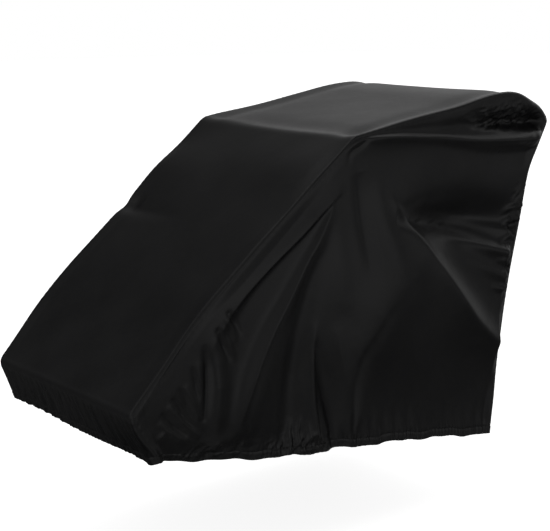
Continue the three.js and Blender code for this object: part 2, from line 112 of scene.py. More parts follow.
# Main folds of a side panel. The path's points are (Y, Z); `above` and `below` are the fold's reach on its
# upper and lower flank and `out` its height, each from the path's start to its end. The upper flank of a
# path that goes down is the one that it leans towards.
SIDE_FOLDS = rows(
    "name path above below out sharp",
    ("roll under the front seam",
     [(-0.070, 0.955), (-0.142, 0.905), (-0.203, 0.860), (-0.270, 0.812), (-0.327, 0.768),
      (-0.377, 0.726), (-0.418, 0.682), (-0.455, 0.636), (-0.490, 0.580)],
     (0.034, 0.052), (0.006, 0.009, 0.020), (0.003, 0.011, 0.014, 0.014, 0.012, 0.007, 0.002), 1.6),
    ("ridge down from the roof corner",
     [(-0.089, 0.925), (-0.111, 0.890), (-0.150, 0.834), (-0.184, 0.788), (-0.240, 0.704), (-0.290, 0.633),
      (-0.333, 0.549), (-0.366, 0.459), (-0.384, 0.400)],
     (0.010, 0.014, 0.020, 0.028), (0.014, 0.032, 0.048), (0.003, 0.009, 0.014, 0.021, 0.023, 0.014), 1.6),
    ("hollow behind that ridge",
     [(-0.160, 0.790), (-0.184, 0.688), (-0.206, 0.584), (-0.220, 0.451), (-0.226, 0.342)],
     (0.030, 0.046), (0.030, 0.046), (-0.004, -0.012, -0.017, -0.014), 2),
    ("valley under the roof corner",
     [(0.002, 1.010), (0.006, 0.975), (0.010, 0.924), (0.014, 0.856), (0.020, 0.795), (0.026, 0.740)],
     (0.040, 0.056), (0.017, 0.022), (-0.001, -0.006, -0.008, -0.006, -0.001), 1.8),
    ("trough of the hollow",
     [(0.130, 0.876), (0.190, 0.868), (0.250, 0.858), (0.330, 0.847), (0.450, 0.834), (0.590, 0.822)],
     (0.026, 0.048, 0.060, 0.066), (0.014, 0.030, 0.042, 0.048),
     (-0.001, -0.018, -0.034, -0.036, -0.030, -0.016), 2),
    ("broad fall below the roof",
     [(0.240, 0.790), (0.163, 0.700), (0.085, 0.640), (0.038, 0.578), (-0.006, 0.520), (-0.022, 0.445),
      (-0.018, 0.360)],
     (0.120, 0.100, 0.060, 0.034), (0.060, 0.050, 0.040), (0.003, 0.010, 0.015, 0.015, 0.014, 0.010), 1.7),
    ("fall ahead of the valley",
     [(-0.072, 0.934), (-0.077, 0.856), (-0.074, 0.762), (-0.068, 0.681)],
     (0.026, 0.036), (0.026, 0.036), (0.001, 0.003, 0.002), 2),
    ("fall behind the valley",
     [(0.072, 0.960), (0.089, 0.877), (0.120, 0.793), (0.141, 0.715)],
     (0.018, 0.026), (0.018, 0.026), (0.001, 0.002, 0.002, 0.001), 2),
    ("pull to the rear seam",
     [(0.124, 0.930), (0.176, 0.868), (0.228, 0.804), (0.280, 0.738), (0.336, 0.671), (0.394, 0.602),
      (0.455, 0.540), (0.520, 0.488), (0.580, 0.448)],
     (0.006, 0.015, 0.030, 0.046, 0.056, 0.062), (0.024, 0.050, 0.070, 0.090),
     (0.002, 0.010, 0.020, 0.031, 0.037, 0.035), 1.3),
    ("upper streak from the rear",
     [(0.317, 0.862), (0.463, 0.826), (0.590, 0.797)],
     (0.010, 0.014), (0.012, 0.018), (0.001, 0.005, 0.010), 1.8),
    ("middle streak from the rear",
     [(0.344, 0.802), (0.452, 0.772), (0.580, 0.736)],
     (0.010, 0.014), (0.014, 0.022), (0.001, 0.009, 0.015), 1.8),
    ("lower streak from the rear",
     [(0.402, 0.729), (0.491, 0.697), (0.585, 0.660)],
     (0.010, 0.014), (0.012, 0.020), (0.001, 0.004, 0.008), 1.8),
    ("lip under the hood",
     [(0.040, 1.101), (0.153, 1.098), (0.295, 1.087), (0.447, 1.070), (0.613, 1.062), (0.735, 1.066)],
     (0.004, 0.005, 0.012, 0.024), (0.012, 0.018, 0.020), (0.003, 0.004, 0.006, 0.014, 0.020, 0.020), 2),
    ("pocket under the hood seam",
     [(0.120, 1.116), (0.300, 1.113), (0.436, 1.114), (0.573, 1.110), (0.700, 1.106)],
     (0.006, 0.040), (0.008, 0.020), (-0.001, -0.003, -0.010, -0.037, -0.036), 2),
    ("shade under the lip",
     [(0.300, 1.050), (0.400, 1.036), (0.520, 1.026), (0.700, 1.020)],
     (0.016, 0.020), (0.026, 0.036), (0, 0, -0.005, -0.008), 2),
    ("ridge ahead of the low fold",
     [(-0.152, 0.610), (-0.156, 0.540), (-0.154, 0.465), (-0.146, 0.391), (-0.134, 0.320)],
     (0.009, 0.012), (0.022, 0.036), (0.002, 0.007, 0.011, 0.011), 1.6),
    ("low fold",
     [(-0.148, 0.564), (-0.132, 0.495), (-0.111, 0.435), (-0.090, 0.376), (-0.074, 0.322), (-0.062, 0.265)],
     (0.014, 0.024, 0.028), (0.009, 0.019, 0.024), (-0.002, -0.010, -0.015, -0.016), 1.8),
    ("ridge behind the low fold",
     [(-0.082, 0.590), (-0.062, 0.500), (-0.037, 0.400), (-0.020, 0.325)],
     (0.022, 0.030), (0.018, 0.024), (0.002, 0.006, 0.008), 1.8),
    ("fan's broad ridge",
     [(-0.462, 0.632), (-0.457, 0.564), (-0.454, 0.499), (-0.454, 0.421), (-0.446, 0.352)],
     (0.030, 0.036), (0.020, 0.024), (0.002, 0.008, 0.011, 0.010, 0.005), 1.9),
    ("fan's valley",
     [(-0.494, 0.604), (-0.486, 0.552), (-0.484, 0.501), (-0.488, 0.425)],
     (0.010, 0.010), (0.010, 0.010), (-0.002, -0.008, -0.008, -0.003), 2),
)

# Puckers of the near side panel, finer than the main folds.
NEAR_PUCKERS = rows(
    "name path above below out sharp",
    ("first tuck off the roll", [(-0.424, 0.687), (-0.398, 0.656), (-0.381, 0.622)],
     (0.008, 0.008), (0.008, 0.008), (-0.0039, -0.0044, -0.0006), 1.8),
    ("first ridge off the roll", [(-0.432, 0.672), (-0.410, 0.640), (-0.396, 0.610)],
     (0.009, 0.008), (0.009, 0.008), (0.0028, 0.0033, 0.0006), 1.8),
    ("second tuck off the roll", [(-0.455, 0.645), (-0.437, 0.604), (-0.418, 0.560)],
     (0.009, 0.009), (0.009, 0.009), (-0.0044, -0.0055, -0.0006), 1.8),
    ("second ridge off the roll", [(-0.438, 0.648), (-0.417, 0.607), (-0.402, 0.570)],
     (0.008, 0.008), (0.009, 0.009), (0.0022, 0.0033, 0.0006), 1.8),
    ("first tuck of the fan", [(-0.528, 0.556), (-0.518, 0.517), (-0.508, 0.478)],
     (0.008, 0.007), (0.008, 0.007), (-0.0011, -0.0039, -0.0006), 1.8),
    ("first ridge of the fan", [(-0.514, 0.566), (-0.507, 0.522), (-0.502, 0.470)],
     (0.008, 0.007), (0.008, 0.007), (0.0011, 0.0033, 0.0006), 1.8),
    ("second tuck of the fan", [(-0.563, 0.507), (-0.545, 0.470), (-0.520, 0.430)],
     (0.009, 0.007), (0.009, 0.007), (-0.0017, -0.0044, -0.0011), 1.8),
    ("second ridge of the fan", [(-0.548, 0.512), (-0.528, 0.470), (-0.506, 0.430)],
     (0.009, 0.007), (0.009, 0.007), (0.0017, 0.0039, 0.0011), 1.8),
    ("third tuck of the fan", [(-0.584, 0.486), (-0.560, 0.449), (-0.526, 0.406)],
     (0.010, 0.008), (0.010, 0.008), (-0.0022, -0.0055, -0.0011), 1.8),
    ("third ridge of the fan", [(-0.595, 0.470), (-0.560, 0.427), (-0.510, 0.382)],
     (0.009, 0.009), (0.010, 0.009), (0.0022, 0.0055, 0.0022), 1.8),
    ("fourth tuck of the fan", [(-0.615, 0.452), (-0.582, 0.420), (-0.545, 0.392)],
     (0.009, 0.008), (0.009, 0.008), (-0.0022, -0.0050, -0.0017), 1.8),
    ("fourth ridge of the fan", [(-0.622, 0.432), (-0.590, 0.403), (-0.550, 0.374)],
     (0.008, 0.008), (0.009, 0.009), (0.0017, 0.0044, 0.0011), 1.8),
    ("knot at the corner", [(-0.628, 0.392), (-0.616, 0.402)],
     (0.009, 0.009), (0.009, 0.009), (0.0022, 0.0028), 2),
    ("first gather at the hem", [(-0.212, 0.362), (-0.219, 0.316), (-0.222, 0.275)],
     (0.008, 0.008), (0.008, 0.008), (0.0014, 0.0063, 0.0035), 1.8),
    ("second gather at the hem", [(-0.188, 0.372), (-0.194, 0.317), (-0.189, 0.270)],
     (0.007, 0.007), (0.007, 0.007), (0.0014, 0.0070, 0.0042), 1.8),
    ("third gather at the hem", [(-0.166, 0.350), (-0.158, 0.306), (-0.150, 0.265)],
     (0.008, 0.007), (0.008, 0.007), (0.0014, 0.0056, 0.0042), 1.8),
    ("lip from the roof corner",
     [(-0.012, 1.090), (0.050, 1.098), (0.130, 1.098), (0.220, 1.093), (0.320, 1.086)],
     (0.0055, 0.0060), (0.030, 0.036), (0.003, 0.006, 0.007, 0.006, 0.001), 1.8),
    ("crease at the roof corner", [(0.044, 1.100), (0.018, 1.083), (-0.018, 1.064), (-0.026, 1.044)],
     (0.007, 0.009), (0.007, 0.009), (-0.001, -0.0035, -0.003, -0.001), 1.8),
    ("first crumple at the rear", [(0.645, 0.872), (0.615, 0.863), (0.585, 0.852)],
     (0.006, 0.006), (0.008, 0.008), (0.010, 0.010, 0.002), 1.6),
    ("second crumple at the rear", [(0.640, 0.826), (0.608, 0.826), (0.575, 0.818)],
     (0.006, 0.006), (0.008, 0.008), (0.012, 0.010, 0.001), 1.6),
    ("third crumple at the rear", [(0.628, 0.776), (0.597, 0.780), (0.555, 0.762)],
     (0.006, 0.006), (0.008, 0.008), (0.010, 0.009, 0.001), 1.6),
    ("fourth crumple at the rear", [(0.618, 0.704), (0.582, 0.707), (0.540, 0.716)],
     (0.007, 0.006), (0.008, 0.008), (0.011, 0.008, 0.001), 1.6),
    ("fifth crumple at the rear", [(0.605, 0.634), (0.570, 0.626), (0.520, 0.640)],
     (0.007, 0.006), (0.009, 0.008), (0.010, 0.009, 0.001), 1.6),
    ("edge of the turned-under corner",
     [(-0.642, 0.405), (-0.556, 0.376), (-0.462, 0.346), (-0.397, 0.360), (-0.350, 0.376)],
     (0.022, 0.024), (0.014, 0.014), (0.002, 0.006, 0.007, 0.005, 0.001), 1.8),
)

# Crumpled places of a side panel: irregular creases, longer along Y than along Z.
CRUMPLES = rows(
    "name y z reach_y reach_z height long short seed",
    ("pocket", 0.570, 1.132, 0.140, 0.032, 0.0090, 0.070, 0.020, 3.1),
    ("back of the pocket", 0.620, 1.130, 0.090, 0.034, 0.0060, 0.024, 0.017, 9.4),
    ("under the hood's end", 0.700, 1.050, 0.050, 0.050, 0.0030, 0.060, 0.024, 7.7),
    ("upper rear edge", 0.640, 0.830, 0.034, 0.075, 0.0100, 0.042, 0.016, 12.4),
    ("lower rear edge", 0.610, 0.690, 0.034, 0.070, 0.0095, 0.040, 0.017, 18.9),
    ("low rear edge", 0.590, 0.580, 0.026, 0.060, 0.0045, 0.040, 0.021, 23.3),
    ("hem ahead of the low fold", -0.190, 0.290, 0.100, 0.034, 0.0070, 0.028, 0.024, 29.6),
    ("turned-under corner", -0.480, 0.320, 0.130, 0.026, 0.0050, 0.040, 0.022, 35.2),
)

# Sewn edges: a seam draws the cloth in by `dip`. A hem is a doubled band with its stitches at `height`, and
# small tucks and broader falls start from it.
SEAM_RELIEF = {"dip": 0.0003, "width": 0.0024, "pucker": 0.0005, "pucker_reach": 0.011, "pitch": 0.021}
HEM_RELIEF = {"height": 0.0225, "proud": 0.0007, "edge": 0.0015, "dip": 0.0012, "width": 0.0020}
HEM_TUCKS = {"out": 0.0017, "at": 0.016, "reach": 0.020, "pitch": 0.0145}
HEM_FALLS = {"out": 0.0024, "at": 0.030, "reach": 0.042, "pitch": 0.047}
HEM_FRONT = {"y": -0.330, "reach": 0.080, "plain": 0.3}  # the hem is plainer ahead of this place
# Crumples and slack grow to their full height over these distances, and `left` keeps some at the hem itself.
UNSEWN = {"seam": 0.010, "hem": 0.012, "left": 0.004}
SLACK = {"side": 0.0009, "centre": 0.0010, "taut": 0.0007}  # the roof has less of it by `taut`
RIM_VALLEY = {"in": 0.052, "reach": 0.038, "dip": 0.0052}  # the roof sinks a little inside its rim
SKIRT_GATHERS = {"pitch": 0.0245, "slant": 0.16, "height": 0.0046}
STITCH = {"pitch": 0.0040, "length": 0.0031, "width": 0.0006, "rise": 0.0004}

# Folds of the centre panel. The path's points are (X, distance along the panel from the front hem).
CENTRE_FOLDS = rows(
    "name path above below out sharp",
    ("dent from the far seam",
     [(-0.335, 0.750), (-0.270, 0.742)], (0.026, 0.030), (0.026, 0.030), (-0.008, -0.001), 2),
    ("fullness below the roof",
     [(-0.320, 0.950), (0.320, 0.970)], (0.110, 0.110), (0.110, 0.110), (0.007, 0.007), 2),
    ("dip behind the roof's front edge",
     [(-0.300, 1.160), (0.000, 1.158), (0.330, 1.150)], (0.050, 0.056), (0.030, 0.034),
     (-0.001, -0.003, -0.005), 2),
    ("rear fall on the near side",
     [(0.205, 2.010), (0.176, 2.360), (0.192, 2.830)], (0.052, 0.060), (0.052, 0.060),
     (0.004, 0.016, 0.022), 2),
    ("rear hollow in the middle",
     [(0.020, 1.990), (-0.030, 2.400), (0.008, 2.830)], (0.066, 0.078), (0.066, 0.078),
     (-0.006, -0.018, -0.012), 2),
    ("rear fall on the far side",
     [(-0.190, 2.010), (-0.214, 2.420), (-0.182, 2.830)], (0.056, 0.064), (0.056, 0.064),
     (0.006, 0.020, 0.016), 2),
)
# How far the front hem is drawn up at its two corners and, past that, in the middle.
FRONT_HEM = {"near": 0.0, "far": 0.032, "middle": 0.012}
CENTRE_SAG = (0.0, -0.007, -0.007, -0.005, -0.006, -0.006)  # evenly along the panel, from the front hem

# Waves of the side hem's lower edge.
HEM_WAVES = rows(
    "waves height phase",
    (0, 0.0050, -math.pi / 2),
    (1, 0.0090, math.pi),
    (6.2, 0.0025, 0.6),
    (13.7, 0.0016, 2.2),
)


def ease(t):
    """A smooth step from 0 to 1."""
    t = np.clip(t, 0, 1)
    return t * t * (3 - 2 * t)


def hump(t):
    """A smooth hump, 1 at the middle."""
    return np.exp(-t * t)


def along(values, t):
    """A list of values spread evenly from 0 to 1, read at t."""
    return np.interp(t, np.linspace(0, 1, len(values)), values)


def spline(points, steps=8):
    """A smooth line through points, as a polyline of short steps."""
    p = np.asarray(points, float)
    padded = np.vstack((p[:1], p, p[-1:]))
    t = np.linspace(0, 1, steps, endpoint=False)[:, None]
    spans = []
    for a, b, c, d in zip(padded, padded[1:], padded[2:], padded[3:]):
        spans.append(0.5 * (2 * b + (c - a) * t + (2 * a - 5 * b + 4 * c - d) * t ** 2
                            + (3 * b - a - 3 * c + d) * t ** 3))
    return np.vstack((*spans, p[-1:]))


def seam_trace():
    """Even points along the seam line, and how far along it each row of the table lies."""
    at = np.array([(row["y"], row["z"]) for row in SEAM_LINE])
    t = np.linspace(0, 1, 200)[:, None]
    dense, middles, start = [at[:1]], [], at[0]
    for k in range(1, len(at) - 1):
        back, ahead = at[k - 1] - at[k], at[k + 1] - at[k]
        into = at[k] + back * SEAM_LINE[k]["round"] / np.linalg.norm(back)
        away = at[k] + ahead * SEAM_LINE[k]["round"] / np.linalg.norm(ahead)
        dense.append(start + (into - start) * t[1:])
        middles.append(sum(len(piece) for piece in dense) - 1 + len(t) // 2)
        dense.append((1 - t[1:]) ** 2 * into + 2 * t[1:] * (1 - t[1:]) * at[k] + t[1:] ** 2 * away)
        start = away
    dense.append(start + (at[-1] - start) * t[1:])
    line = np.vstack(dense)
    runs = np.concatenate(([0], np.cumsum(np.linalg.norm(np.diff(line, axis=0), axis=1))))
    even = np.linspace(0, runs[-1], round(runs[-1] / TRACE) + 1)
    points = np.stack([np.interp(even, runs, line[:, k]) for k in (0, 1)], axis=1)
    return even, points, np.array((0, *runs[middles], runs[-1]))


def normals_along(points):
    """Outward normals of a line of points, each from its neighbours two steps away."""
    count = len(points)
    ahead = points[np.minimum(np.arange(count) + 2, count - 1)]
    behind = points[np.maximum(np.arange(count) - 2, 0)]
    tangent = (ahead - behind) / np.linalg.norm(ahead - behind, axis=1)[:, None]
    return np.stack((-tangent[:, 1], tangent[:, 0]), axis=1)


seam_runs, seam_points, row_runs = seam_trace()
SEAM_LENGTH = seam_runs[-1]
seam_normals = normals_along(seam_points)


def run_of(name):
    """How far along the seam a row of its table lies."""
    return row_runs[[row["name"] for row in SEAM_LINE].index(name)]


NOSE, HOOD_END = run_of("nose"), run_of("hood end")


def soft_at(run):
    """Radius of the edge across the seam at runs along it."""
    run = np.asarray(run, float)
    k = np.clip(np.searchsorted(row_runs, run, side="right") - 1, 0, len(row_runs) - 2)
    soft = np.array([row["soft"] for row in SEAM_LINE])
    return soft[k] + (soft[k + 1] - soft[k]) * ease((run - row_runs[k]) / (row_runs[k + 1] - row_runs[k]))


def seam_at(run):
    """Point and outward normal of the seam line, as (Y, Z)."""
    point = np.stack([np.interp(run, seam_runs, seam_points[:, k]) for k in (0, 1)], axis=-1)
    normal = np.stack([np.interp(run, seam_runs, seam_normals[:, k]) for k in (0, 1)], axis=-1)
    return point, normal


def swell_at(side, run):
    """How far a side's seam stands off its line."""
    return sum(row["out"] * hump((run - row["run"]) / row["reach"]) for row in SEAM_SWELLS[side])


def round_off(distance, radius):
    """How far a surface has rounded off at a distance from the plane that it would meet square."""
    into = np.clip(radius - np.maximum(distance, 0), 0, None)
    return radius - np.sqrt(np.maximum(radius ** 2 - into ** 2, 0))


def fold_height(fold, a, b):
    """Height of one fold at the places (a, b) of a panel."""
    trace = fold["trace"]
    widest = max(*fold["above"], *fold["below"])
    low, high = trace.min(0) - 3 * widest, trace.max(0) + 3 * widest
    height = np.zeros(a.shape)
    close = (a > low[0]) & (a < high[0]) & (b > low[1]) & (b < high[1])
    if not close.any():
        return height
    p, q = a[close], b[close]
    nearest = np.full(p.shape, np.inf)
    t, lift = np.zeros(p.shape), np.zeros(p.shape)
    upward = -1 if trace[-1][0] < trace[0][0] else 1
    for k, (start, end) in enumerate(zip(trace, trace[1:])):
        dx, dy = end - start
        share = np.clip(((p - start[0]) * dx + (q - start[1]) * dy) / (dx * dx + dy * dy), 0, 1)
        distance = np.hypot(p - start[0] - share * dx, q - start[1] - share * dy)
        closer = distance < nearest
        nearest = np.where(closer, distance, nearest)
        t = np.where(closer, (k + share) / (len(trace) - 1), t)
        beside = ((q - start[1]) * dx - (p - start[0]) * dy) / math.hypot(dx, dy)
        lift = np.where(closer, beside * upward, lift)
    lean = np.clip(0.5 + 0.5 * lift / np.maximum(nearest, 1e-9), 0, 1)
    reach = along(fold["below"], t) * (1 - lean) + along(fold["above"], t) * lean
    height[close] = along(fold["out"], t) * np.exp(-((nearest / reach) ** fold["sharp"]))
    return height


def traced(folds):
    """Folds with their paths drawn as smooth lines."""
    return [{**fold, "trace": spline(fold["path"])} for fold in folds]


def moved(folds):
    """The far side's folds: the same ones, each a little moved and shallower."""
    return [
        {**fold,
         "path": [(y + 0.015 * math.sin(1.7 * k), z + 0.011 * math.cos(2.3 * k)) for y, z in fold["path"]],
         "out": [height * (0.8 + 0.15 * math.sin(2.9 * k)) for height in fold["out"]]}
        for k, fold in enumerate(folds)
    ]


side_folds = {"near": traced(SIDE_FOLDS), "far": traced(moved(SIDE_FOLDS))}
puckers_of = {"near": traced(NEAR_PUCKERS), "far": traced(moved(NEAR_PUCKERS))}
centre_folds = traced(CENTRE_FOLDS)


def tree_of(points):
    """A search tree of points in the (Y, Z) plane."""
    tree = KDTree(len(points))
    for k, (y, z) in enumerate(points):
        tree.insert((y, z, 0), k)
    tree.balance()
    return tree


seam_tree = tree_of(seam_points)


def from_seam(side, y, z):
    """Distance of places on a side panel inside its seam, and the edge radius there."""
    places = np.stack((y.ravel(), z.ravel()), axis=1)
    nearest = np.array([seam_tree.find((y, z, 0))[1] for y, z in places.tolist()])
    run = seam_runs[nearest]
    inward = ((seam_points[nearest] - places) * seam_normals[nearest]).sum(1)
    shape = y.shape
    return (inward + swell_at(side, run)).reshape(shape), soft_at(run).reshape(shape)


def facing(normal, across, run, edge):
    """Outward normals that swing, at the edge, to the direction that both panels share at the seam."""
    sideways = np.broadcast_to(across, run.shape)[..., None] * math.sin(SEAM_TURN)
    upward = seam_at(run)[1] * math.cos(SEAM_TURN)
    shared = np.concatenate((sideways, upward), axis=-1)
    near = hump(edge / SHARED_REACH)[..., None]
    mixed = normal * (1 - near) + shared * near
    return mixed / np.linalg.norm(mixed, axis=-1, keepdims=True)


def side_reach(side, y, z, distance, soft):
    """Distance of a side panel's outer face from the middle of the cover."""
    full = sum(
        row["out"] * hump(np.hypot((y - row["y"]) / row["reach_y"], (z - row["z"]) / row["reach_z"]))
        for row in SIDE_FULLNESS
    )
    folds = sum(fold_height(fold, y, z) for fold in side_folds[side])
    puckers = sum(fold_height(fold, y, z) for fold in puckers_of[side])
    inside_seam = distance - IN_SIDE * soft
    relief = ease(inside_seam / SEAM_FADE) * (full + folds) + ease(inside_seam / PUCKER_FADE) * puckers
    return HALF_WIDTH - round_off(distance, soft) + relief


def edge_reach(run):
    """A panel's reach from the middle of the cover at its seams."""
    return HALF_WIDTH - IN_CENTRE * soft_at(run)


def side_edge(side, run):
    """A side panel's edge in the (Y, Z) plane, at the seam."""
    point, normal = seam_at(run)
    return point + normal * (swell_at(side, run) - IN_SIDE * soft_at(run))[..., None]


def hem_edge(side, u):
    """A side panel's hem in the (Y, Z) plane, at shares of its length from nose to rear."""
    start, end = side_edge(side, np.float64(FRONT_HEM[side])), side_edge(side, SEAM_LENGTH)
    line = start + (end - start) * u[..., None]
    held = ease(u / 0.06) * ease((1 - u) / 0.06)
    wave = sum(row["height"] * np.sin(2 * np.pi * row["waves"] * u + row["phase"]) for row in HEM_WAVES)
    return line + np.stack((np.zeros(u.shape), held * wave), axis=-1)


def edge_runs(side, u, v):
    """The runs that shares of a side panel have along its front, rear and top seams."""
    front = NOSE + (FRONT_HEM[side] - NOSE) * v
    rear = HOOD_END + (SEAM_LENGTH - HOOD_END) * v
    return front, rear, NOSE + (HOOD_END - NOSE) * u


def side_place(side, u, v):
    """A place on a side panel, from its four edges: u runs from nose to rear and v from seam to hem."""
    def top(share):
        return side_edge(side, NOSE + (HOOD_END - NOSE) * share)
    u, v = np.broadcast_arrays(u, v)
    front_run, rear_run, _ = edge_runs(side, u, v)
    front, rear = side_edge(side, front_run), side_edge(side, rear_run)
    zero, one = np.zeros(u.shape), np.ones(u.shape)
    a, b = u[..., None], v[..., None]
    edges = top(u) * (1 - b) + hem_edge(side, u) * b + front * (1 - a) + rear * a
    corners = (top(zero) * (1 - a) + top(one) * a) * (1 - b)
    corners += (hem_edge(side, zero) * (1 - a) + hem_edge(side, one) * a) * b
    return edges - corners


def centre_lift(x, run):
    """Height of the centre panel's outer face above the seam line."""
    soft = soft_at(run)
    edge = HALF_WIDTH - np.abs(x)
    inner = ease((edge - IN_CENTRE * soft) / (2 * SEAM_FADE))
    sag = hump(1.15 * x / HALF_WIDTH) * inner * along(CENTRE_SAG, run / SEAM_LENGTH)
    folds = sum(fold_height(fold, x, run) for fold in centre_folds)
    swell = np.where(x > 0, swell_at("near", run), swell_at("far", run)) * ease(np.abs(x) / HALF_WIDTH)
    return swell + sag + inner * folds - round_off(edge, soft)


def drawn_up(share, run):
    """The front hem draws the skirt up, by a share of the panel's width that is -1 at the far seam."""
    corners = FRONT_HEM["far"] + (FRONT_HEM["near"] - FRONT_HEM["far"]) * (share + 1) / 2
    return run + (corners + FRONT_HEM["middle"] * (1 - share ** 4)) * np.clip(1 - run / NOSE, 0, 1)


def arc_from(points, axis, back=False):
    """Length along the cloth from a grid's first line of points, or back from its last."""
    steps = np.linalg.norm(np.diff(points, axis=axis), axis=-1)
    start = np.zeros_like(np.take(steps, [0], axis=axis))
    length = np.concatenate((start, np.cumsum(steps, axis=axis)), axis=axis)
    return np.take(length, [-1], axis=axis) - length if back else length


def uneven_wave(place, pitch, turn=0.0):
    """A wave along a seam or hem whose pitch and height wander."""
    slow = 0.9 * np.sin(place / (0.71 * pitch) / 3.1 + turn)
    wander = slow + 0.7 * np.sin(place / pitch / 1.7 + 2.3 * turn)
    height = 0.62 + 0.38 * np.sin(place / (1.9 * pitch) + 4.1 * turn)
    return height * np.sin(2 * np.pi * place / pitch + wander + turn)


def seam_relief(distance, place, turn=0.0):
    """The groove along a seam and the small puckers beside it."""
    groove = -SEAM_RELIEF["dip"] * hump(distance / SEAM_RELIEF["width"])
    fade = hump(distance / SEAM_RELIEF["pucker_reach"]) * (1 - hump(distance / SEAM_RELIEF["width"]))
    return groove + SEAM_RELIEF["pucker"] * fade * uneven_wave(place, SEAM_RELIEF["pitch"], turn)


def hem_relief(distance, place, gathered, turn=0.0):
    """The doubled band, the line of stitches over it and the small tucks that they hold, by a share."""
    inside_band = 1 - ease((distance - HEM_RELIEF["height"]) / HEM_RELIEF["edge"] + 0.5)
    stitched = (distance - HEM_RELIEF["height"]) / HEM_RELIEF["width"]
    band = HEM_RELIEF["proud"] * inside_band - HEM_RELIEF["dip"] * hump(stitched)
    tucks = beside_hem(HEM_TUCKS, distance, place, turn)
    falls = beside_hem(HEM_FALLS, distance, place, turn + 1.0)
    return band + gathered * (tucks + falls)


def beside_hem(row, distance, place, turn):
    """Waves beside a hem, highest at a set distance from it."""
    height = row["out"] * hump((distance - row["at"]) / row["reach"])
    return height * uneven_wave(place, row["pitch"], turn)


def slack(a, b, height):
    """The faint unevenness of cloth that only hangs, over places (a, b) in metres."""
    broad = np.sin(13 * a + 7 * b + 1) * np.sin(17 * b - 5 * a + 2)
    fine = 0.6 * np.sin(29 * a - 11 * b) * np.sin(23 * b + 4)
    return height * (broad + fine)


def crumple_relief(y, z):
    """Irregular sharp creases inside the windows of the table."""
    relief = np.zeros(y.shape)
    for row in CRUMPLES:
        window = hump(np.hypot((y - row["y"]) / row["reach_y"], (z - row["z"]) / row["reach_z"]) ** 1.4)
        inside = window > 0.03  # past this the creases are too faint to show
        creases = []
        for a, b in zip(y[inside].tolist(), z[inside].tolist()):
            along_y, along_z = a / row["long"], b / row["short"]
            creases.append(crease_at(along_y + row["seed"], along_z - 0.6 * a / row["long"], row["seed"]))
        relief[inside] += row["height"] * window[inside] * np.array(creases)
    return relief


def crease_at(a, b, seed):
    """Creases with sharp crests and soft troughs, at two sizes."""
    broad = noise.noise(Vector((a, b, seed)))
    fine = noise.noise(Vector((2.3 * a, 2.1 * b, seed + 5.0)))
    return 0.5 - 1.7 * abs(broad) + 0.30 - 0.75 * abs(fine)


def tied(reach, place, runs):
    """A side panel's reach, drawn by its three seams to the edge that the centre panel meets."""
    front, rear, top = runs
    at_front = (edge_reach(front[:1]) - reach[:1]) * hump(arc_from(place, 0) / TIE_REACH)
    at_rear = (edge_reach(rear[-1:]) - reach[-1:]) * hump(arc_from(place, 0, back=True) / TIE_REACH)
    upper = reach + at_front + at_rear
    return upper + (edge_reach(top[:, :1]) - upper[:, :1]) * hump(arc_from(place, 1) / TIE_REACH)


def side_arcs(outer):
    """Lengths along the cloth from a side panel's front, rear and top seams and back from its hem."""
    front, rear = arc_from(outer, 0), arc_from(outer, 0, back=True)
    top, hem = arc_from(outer, 1), arc_from(outer, 1, back=True)
    return front, rear, top, hem


def side_relief(y, z, front, rear, top, hem):
    """Relief of a side panel beyond its folds."""
    upright = np.minimum(front, rear)
    relief = np.where(upright < top, seam_relief(upright, top, 2.0), seam_relief(top, front))
    inside_seam = np.minimum(upright, top)
    behind = ease((y - HEM_FRONT["y"]) / HEM_FRONT["reach"])
    gathered = HEM_FRONT["plain"] + (1 - HEM_FRONT["plain"]) * behind
    relief += hem_relief(hem, front, gathered, 0.4) * ease(inside_seam / HEM_STOP)
    unsewn = ease(inside_seam / UNSEWN["seam"]) * ease((hem + UNSEWN["left"]) / UNSEWN["hem"])
    return relief + (crumple_relief(y, z) + slack(y, z, SLACK["side"])) * unsewn


def gathers(x, run):
    """The skirt's slanting gathers, drawn in by the front hem."""
    place = (x + SKIRT_GATHERS["slant"] * run) / SKIRT_GATHERS["pitch"]
    place = place + 0.22 * np.sin(1.9 * place + 1) + 0.16 * np.sin(0.73 * place)
    uneven = 0.72 + 0.28 * np.sin(2.7 * place + 2)
    reach = ease((NOSE - run) / 0.040) * (0.20 + 0.80 * ease((run - 0.010) / 0.045))
    return SKIRT_GATHERS["height"] * uneven * reach * (np.abs(np.sin(np.pi * place)) - 0.6)


def centre_relief(outer, edge, x, run):
    """Relief of the centre panel beyond its folds, for its grid from front hem to rear hem and across."""
    front, rear = arc_from(outer, 0), arc_from(outer, 0, back=True)
    inside_seam = ease(edge / HEM_STOP)
    hems = hem_relief(front, x, 1.0, 1.3) + hem_relief(rear, x, 1.0, 2.6)
    on_top = ease((run - run_of("roof front") + 0.020) / 0.060) * ease((HOOD_END - run) / 0.060)
    valley = RIM_VALLEY["dip"] * on_top * hump((edge - RIM_VALLEY["in"]) / RIM_VALLEY["reach"])
    height = SLACK["centre"] - SLACK["taut"] * on_top
    inside = hems + gathers(x, run) - valley + slack(x, run, height)
    return seam_relief(edge, run, 1.0) + inside_seam * inside


def normals_of(points):
    """Unit normals of a grid of points."""
    du = np.gradient(points, axis=0)
    dv = np.gradient(points, axis=1)
    normal = np.cross(du, dv)
    return normal / np.linalg.norm(normal, axis=-1, keepdims=True)


def spaced(*spans):
    """Places along an edge: spans of (end, spacing), counted from 0."""
    places, start = [0.0], 0.0
    for end, spacing in spans:
        count = max(1, round((end - start) / spacing))
        places += [start + (end - start) * (k + 1) / count for k in range(count)]
        start = end
    return np.array(places)


INNER_STEP = 3  # the hidden inner face has every third point


